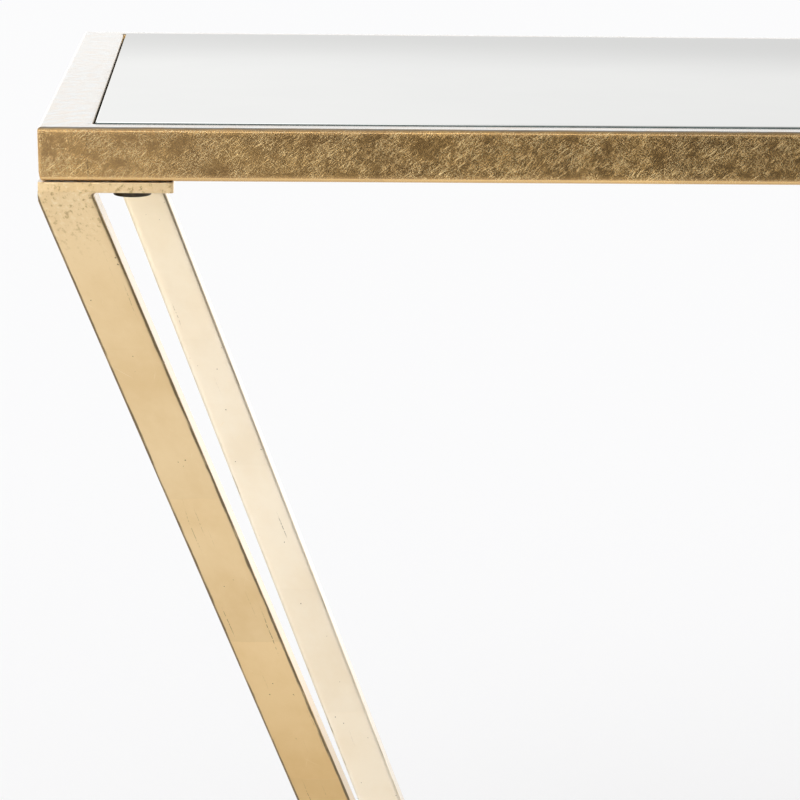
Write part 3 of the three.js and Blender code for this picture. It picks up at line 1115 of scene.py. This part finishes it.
# a round sleeve with a bore, both ends eased
def sleeveRows(low, high, radius, bore, edge):
    outside = roundedEdge(low, radius, edge, True) + roundedEdge(high, radius, edge, False)
    upper = [(high, bore + edge, 0.2), (high - edge, bore, 0.4)]
    lower = [(low + edge, bore, 0.4), (low, bore + edge, 0.2)]
    return outside + upper + lower


def middle(node):
    low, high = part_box(node)
    return (low.x + high.x) / 2, (low.y + high.y) / 2


def threadRows(low, high, radius, look, ringsPerTurn=8):
    count = round((high - low) / look["pitch"] * ringsPerTurn)
    rows = []
    for step in range(count + 1):
        height = low + (high - low) * step / count
        rows.append((height, thread(radius, look["depth"], look["pitch"], height), 0.0))
    return rows


bumperShape = {"edge": 0.5 * mm, "seed": 101}
boltShape = {
    "shank": 3.0 * mm,
    "rim": 0.4 * mm,
    "heel": 0.3 * mm,  # the head's upper edge and the gap under the plate
    "socket": 5.0 * mm,
    "socketEase": 0.6 * mm,
    "socketLip": 0.3 * mm,
    "socketDepth": 2.2 * mm,
    "socketMiddle": 0.05 * mm,
    "threadStart": 0.2 * mm,
    "threadEnd": 0.6 * mm,
    "tip": 0.8 * mm,
    "seed": 111,
}
boltThread = {"depth": 0.35 * mm, "pitch": 1.0 * mm}
glideShape = {
    "foot": 1.6 * mm,
    "shoulder": 0.8 * mm,
    "collar": 7.0 * mm,
    "collarHeight": 1.2 * mm,
    "collarFlare": 1.0 * mm,
    "collarStep": 0.3 * mm,
    "collarEdge": 0.4 * mm,
    "seed": 121,
}
studShape = {
    "radius": 4.0 * mm,
    "lowTip": 0.7 * mm,
    "highTip": 1.0 * mm,
    "threadStart": 0.6 * mm,
    "threadEnd": 0.8 * mm,
    "seed": 131,
}
studThread = {"depth": 0.5 * mm, "pitch": 1.25 * mm}
sleeveShape = {"edge": 0.4 * mm, "clearance": 0.1 * mm, "seed": 141}


def makeBumpers(shape):
    for index, place in enumerate([*corners, "centre_left", "centre_right"]):
        node = "bumper_" + place
        low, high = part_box(node)
        radius = (high.x - low.x) / 2
        rows = roundedEdge(low.z, radius, shape["edge"], True)
        rows += roundedEdge(high.z, radius, shape["edge"], False)
        bumper = makeTurned("bumper." + place, middle(node), rows, bumperGel, shape["seed"] + index, 32)
        seat(bumper, "frame", node)


def makeBolts(shape):
    for index, corner in enumerate(corners):
        node = "leg_bolt_" + corner
        low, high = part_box(node)
        headRadius = (high.x - low.x) / 2
        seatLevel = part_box("leg_plate_" + corner)[0].z - shape["heel"]
        socket = hexagon(shape["socket"])
        lip = hexagon(shape["socket"] + shape["socketEase"])
        floorLevel = low.z + shape["socketDepth"]
        rows = [(floorLevel, shape["socketMiddle"], 0.0), (floorLevel, socket, 0.3)]
        rows += [(low.z + shape["socketLip"], socket, 0.3), (low.z, lip, 0.8)]
        rows += roundedEdge(low.z, headRadius, shape["rim"], True, 6)
        rows += roundedEdge(seatLevel, headRadius, shape["heel"], False, 3)
        rows += [(seatLevel, shape["shank"], 0.0)]
        threadLow = seatLevel + shape["threadStart"]
        rows += threadRows(threadLow, high.z - shape["threadEnd"], shape["shank"], boltThread)
        rows += [(high.z, shape["shank"] - shape["tip"], 0.4)]
        bolt = makeTurned("legBolt." + corner, middle(node), rows, boltSteel, shape["seed"] + index, 48)
        seat(bolt, "frame", node)


def makeGlideFoot(corner, shape, seed):
    node = "glide_foot_" + corner
    low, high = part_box(node)
    radius = (high.x - low.x) / 2
    collar = shape["collar"]
    shoulder = high.z - shape["collarHeight"]
    rows = roundedEdge(low.z, radius, shape["foot"], True, 6)
    rows += roundedEdge(shoulder, radius, shape["shoulder"], False)
    rows += [(shoulder, collar + shape["collarFlare"], 0.2)]
    rows += [(shoulder + shape["collarStep"], collar, 0.3)]
    rows += roundedEdge(high.z, collar, shape["collarEdge"], False, 3)
    foot = makeTurned("glideFoot." + corner, middle(node), rows, nylon, seed, 48)
    seat(foot, "glide_" + corner, node)


def makeGlideStud(corner, shape, seed):
    node = "glide_stud_" + corner
    low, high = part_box(node)
    radius = shape["radius"]
    rows = [(low.z, radius - shape["lowTip"], 0.3)]
    rows += threadRows(low.z + shape["threadStart"], high.z - shape["threadEnd"], radius, studThread)
    rows += [(high.z, radius - shape["highTip"], 0.4)]
    stud = makeTurned("glideStud." + corner, middle(node), rows, zincSteel, seed)
    seat(stud, "glide_" + corner, node)


# the weld nuts inside the ledges and the inserts inside the floor rails
def makeSleeves(prefix, name, boltRadius, shape):
    for index, corner in enumerate(corners):
        node = prefix + corner
        low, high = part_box(node)
        radius = (high.x - low.x) / 2
        rows = sleeveRows(low.z, high.z, radius, boltRadius + shape["clearance"], shape["edge"])
        seed = shape["seed"] + index
        piece = makeTurned(name + "." + corner, middle(node), rows, zincSteel, seed, hollow=True)
        seat(piece, "frame", node)


makeBumpers(bumperShape)
makeBolts(boltShape)
for index, corner in enumerate(corners):
    makeGlideFoot(corner, glideShape, glideShape["seed"] + index)
    makeGlideStud(corner, studShape, studShape["seed"] + index)
makeSleeves("weld_nut_", "weldNut", boltShape["shank"], sleeveShape)
makeSleeves("glide_insert_", "glideInsert", studShape["radius"], sleeveShape)
print("bumpers, bolts and glides made")


keyLook = {"strength": 0.40, "width": 50, "turn": (38, 0, -35)}
# ranges are (from, to) and the values there, in metres on the floor and in slopes for the world
floorLook = {
    "radius": 60.0,
    "sides": 64,
    "paper": colour(0.940, 0.940, 0.946),
    "seen": colour(1.0, 0.985, 0.96),  # what the metal sees of it
    "dark": (2.4, 3.3),  # distance in front at which the dark part begins
    "darkSide": (-1.3, -0.1, 0.92, 0.07),
    "near": (0.4, 1.7, 0.84, 1.2),
    "far": (-0.9, -2.0, 0.0, 0.75),
}
worldLook = {
    "sweep": colour(0.957, 0.957, 0.962),
    "dome": 0.93,
    "seen": colour(1.0, 0.995, 0.985),
    "behind": (-0.15, 0.25),  # where the front of the studio gives way to the back
    "backTone": (0.106, 0.119, 0.775, 0.945),
    "backSide": (-0.1, 0.25, 1.0, 0.92),
    "backHigh": (0.32, 0.5, 1.0, 0.5),
    "card": 0.45,
    "cardBottom": (0.17, 0.21),
    "cardTop": (0.6, 0.4),
    "cardSides": (0.5, 0.3),
    "glow": 0.7,
    "glowTop": (0.1, 0.07),
    "frontRise": (0.04, 0.13, 0.25, 5.6),
    "frontFall": (0.14, 0.24, 1.0, 0.15),
    "frontSide": (-0.05, 0.35, 1.0, 0.35),
}


def makeFloor(look):
    mesh = bpy.data.meshes.new("floor")
    points = []
    for side in range(look["sides"]):
        angle = 2 * math.pi * side / look["sides"]
        points.append((look["radius"] * math.cos(angle), look["radius"] * math.sin(angle), 0))
    mesh.from_pydata(points, [], [tuple(range(look["sides"]))])
    floor = bpy.data.objects.new("floor", mesh)
    bpy.context.scene.collection.objects.link(floor)
    material, tree, shader = newMaterial("studioFloor")
    tree.nodes.remove(shader)
    paper = add(tree, "BsdfDiffuse", {"Color": look["paper"]})
    place = add(tree, "NewGeometry").outputs["Position"]
    parts = add(tree, "SeparateXYZ", {0: place})
    ahead = times(tree, parts.outputs[1], -1.0)
    dark = ease(tree, ahead, *look["dark"])
    darkSide = ease(tree, parts.outputs[0], *look["darkSide"])
    bright = calc(tree, "ADD", ease(tree, ahead, *look["near"]), ease(tree, ahead, *look["far"]))
    level = add(tree, "Mix", {0: dark, 2: bright, 3: darkSide})
    seen = add(tree, "Emission", {"Color": look["seen"], "Strength": level.outputs[0]})
    ray = add(tree, "LightPath").outputs["Is Glossy Ray"]
    mix = add(tree, "MixShader", {0: ray, 1: paper.outputs[0], 2: seen.outputs[0]})
    tree.links.new(mix.outputs[0], tree.nodes["Material Output"].inputs["Surface"])
    mesh.materials.append(material)


def makeWorld(look):
    world = bpy.data.worlds.new("studio")
    bpy.context.scene.world = world
    world.use_nodes = True
    world.cycles.sampling_method = "NONE"
    tree = world.node_tree
    tree.nodes.clear()
    ray = add(tree, "LightPath").outputs
    direction = add(tree, "TexCoord").outputs["Generated"]
    x, y, z = add(tree, "SeparateXYZ", {0: direction}).outputs
    behind = ease(tree, y, *look["behind"])

    tone = times(tree, ease(tree, z, *look["backTone"]), ease(tree, x, *look["backSide"]))
    tone = times(tree, tone, ease(tree, z, *look["backHigh"]))
    card = times(tree, ease(tree, z, *look["cardBottom"]), ease(tree, z, *look["cardTop"]))
    card = times(tree, card, ease(tree, calc(tree, "ABSOLUTE", x), *look["cardSides"]))
    back = calc(tree, "MULTIPLY_ADD", card, look["card"], tone)
    back = calc(tree, "MULTIPLY_ADD", ease(tree, z, *look["glowTop"]), look["glow"], back)

    front = times(tree, ease(tree, z, *look["frontRise"]), ease(tree, z, *look["frontFall"]))
    front = times(tree, front, ease(tree, x, *look["frontSide"]))

    level = add(tree, "Mix", {0: behind, 2: front, 3: back}).outputs[0]
    glossy = add(tree, "Background", {"Color": look["seen"], "Strength": level}).outputs[0]
    dome = add(tree, "Background", {"Color": colour(1, 1, 1), "Strength": look["dome"]}).outputs[0]
    sweep = add(tree, "Background", {"Color": look["sweep"], "Strength": 1.0}).outputs[0]
    other = add(tree, "MixShader", {0: ray["Is Diffuse Ray"], 1: glossy, 2: dome}).outputs[0]
    mix = add(tree, "MixShader", {0: ray["Is Camera Ray"], 1: other, 2: sweep}).outputs[0]
    output = add(tree, "OutputWorld")
    tree.links.new(mix, output.inputs["Surface"])


def makeKey(look):
    data = bpy.data.lights.new("key", "SUN")
    data.energy = look["strength"]
    data.angle = math.radians(look["width"])
    key = bpy.data.objects.new("key", data)
    key.rotation_euler = [math.radians(angle) for angle in look["turn"]]
    bpy.context.scene.collection.objects.link(key)


makeFloor(floorLook)
makeWorld(worldLook)
makeKey(keyLook)
bpy.context.scene.view_settings.view_transform = "Standard"
print("studio made")
